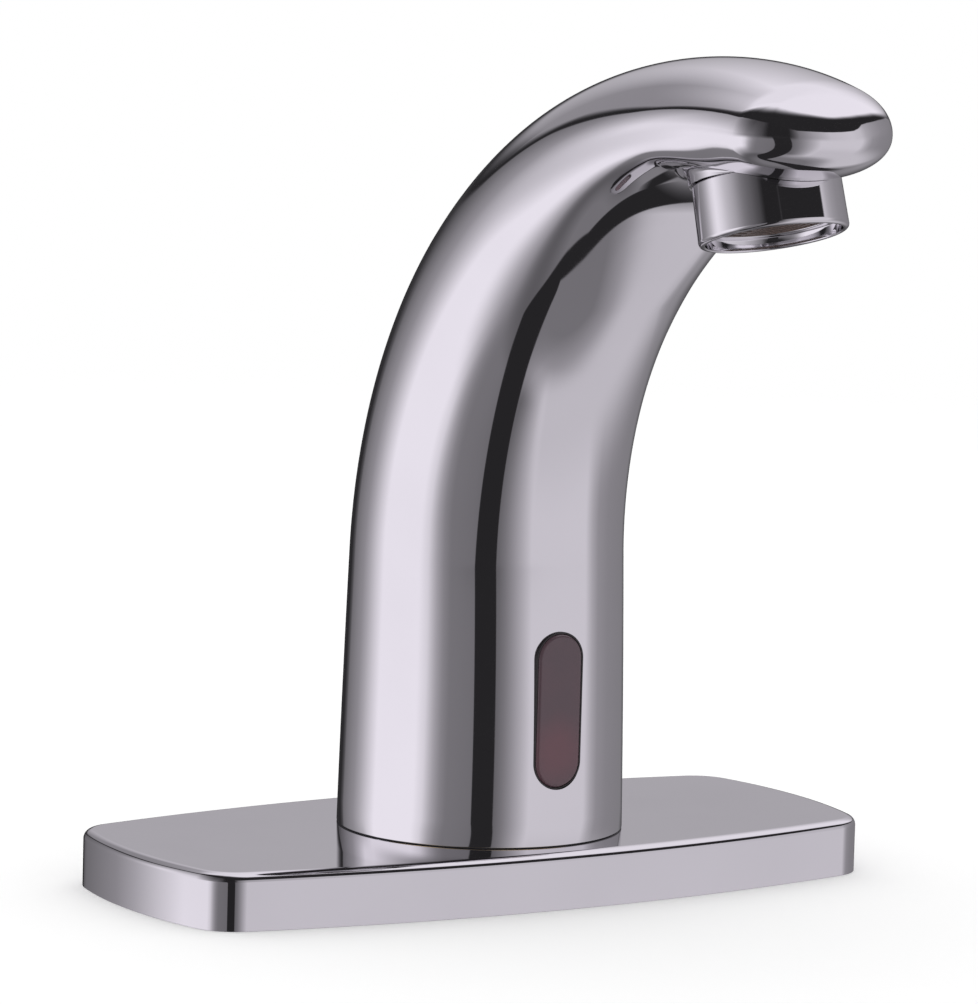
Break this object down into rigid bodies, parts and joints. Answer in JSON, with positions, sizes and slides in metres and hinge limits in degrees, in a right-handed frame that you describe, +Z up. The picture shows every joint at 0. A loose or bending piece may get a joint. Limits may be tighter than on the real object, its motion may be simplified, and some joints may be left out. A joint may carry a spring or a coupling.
{
  "type": "sensor basin faucet",
  "caption": "Touch-free basin faucet: one curved chrome spout on an oblong trim plate, with a sensor window in its front and an unscrewable aerator under its nose.",
  "frame": {"origin": "on the deck, midway between the two fixing studs' holes, on the axis of the spout's upright part", "axes": "+Z up, -Y towards the user and the basin, +X to the user's right"},
  "size_m": [0.1524, 0.1492, 0.1632],
  "materials": {
    "body_chrome": "polished",
    "plate_chrome": "polished",
    "ring_chrome": "polished",
    "cast_brass": "satin",
    "fastener_steel": "satin",
    "copper_tube": "satin",
    "seal_rubber": "matte",
    "window_seal_rubber": "satin",
    "pad_foam": "matte",
    "insert_plastic": "satin",
    "regulator_plastic": "satin",
    "window_plastic": "gloss",
    "case_plastic": "matte",
    "board_laminate": "satin",
    "clear_epoxy": "gloss",
    "dark_epoxy": "gloss",
    "red_epoxy": "gloss",
    "connector_plastic": "satin",
    "lead_jacket": "satin"
  },
  "bodies": {
    "spout": {"spout_body": "body_chrome", "trim_plate": "plate_chrome", "plate_pad": "pad_foam", "base_gasket": "seal_rubber", "mounting_base": "cast_brass", "base_screws": "fastener_steel", "locating_pins": "fastener_steel", "inlet_fitting": "cast_brass", "inlet_o_ring": "seal_rubber", "inlet_lock_nut": "cast_brass", "waterway_tube": "copper_tube", "outlet_elbow": "cast_brass", "outlet_nipple": "cast_brass", "outlet_o_ring": "seal_rubber", "sensor_window": "window_plastic", "window_seal": "window_seal_rubber", "sensor_case": "case_plastic", "sensor_board": "board_laminate", "ir_emitter": "clear_epoxy", "ir_receiver": "dark_epoxy", "indicator_led": "red_epoxy", "light_baffle": "case_plastic", "board_connector": "connector_plastic", "sensor_bracket": "fastener_steel", "bracket_screws": "fastener_steel", "sensor_lead": "lead_jacket", "cable_grommet": "seal_rubber"},
    "aerator_core": {"aerator_insert": "insert_plastic", "aerator_washer": "seal_rubber", "aerator_screen": "fastener_steel", "flow_regulator": "regulator_plastic"},
    "aerator_shell": {"aerator_housing": "ring_chrome"}
  },
  "joints": [
    {"name": "aerator_drop", "type": "slide", "parent": "spout", "child": "aerator_core", "axis": [0, -0.2973, -0.9548], "range_m": [0, 0.00401]},
    {"name": "aerator_turn", "type": "hinge", "parent": "aerator_core", "child": "aerator_shell", "pos_m": [0, -0.09243, 0.13171], "axis": [0, -0.2973, -0.9548], "range_deg": [0, 1440]}
  ],
  "couplings": [
    {"joint": "aerator_drop", "follows": "aerator_turn", "m_per_rad": 0.00015915}
  ]
}
